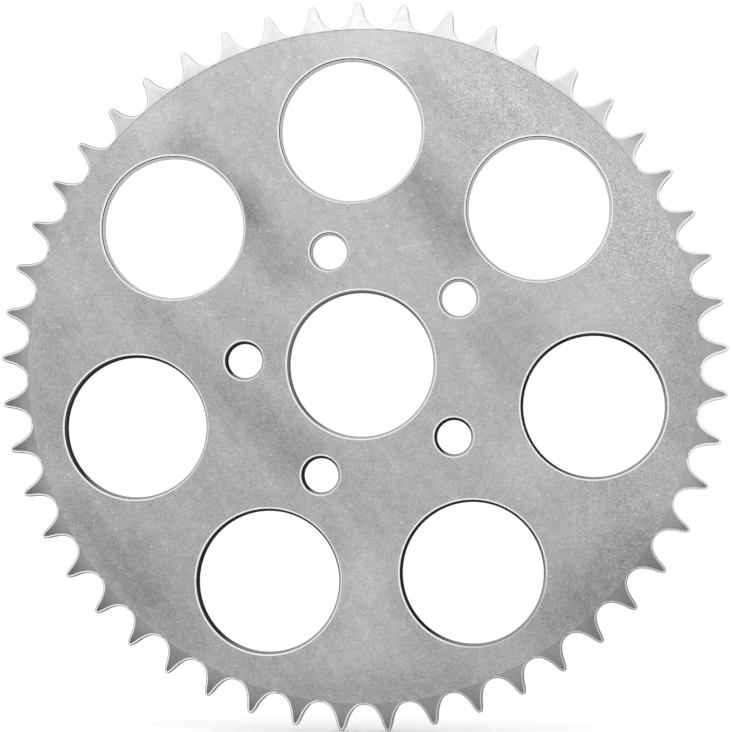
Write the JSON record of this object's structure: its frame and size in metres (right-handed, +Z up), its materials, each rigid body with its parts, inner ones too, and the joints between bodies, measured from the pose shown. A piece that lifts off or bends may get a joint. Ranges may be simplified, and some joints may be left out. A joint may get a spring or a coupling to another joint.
{
  "type": "motorcycle rear sprocket",
  "caption": "Flat steel chain sprocket for a motorcycle's rear wheel, with a pilot bore, a bolt circle and a ring of round lightening holes.",
  "frame": {"origin": "centre of the pilot bore, halfway through the plate's thickness", "axes": "+Y along the axle towards the wheel hub, -Y out of the outer face, +Z up"},
  "size_m": [0.2561, 0.0088, 0.256],
  "materials": {
    "plated_steel": "satin bright-plated steel, finely speckled, with bright machined chamfers on the holes and tooth edges"
  },
  "bodies": {
    "root": {"sprocket_plate": "plated_steel"}
  },
  "joints": []
}
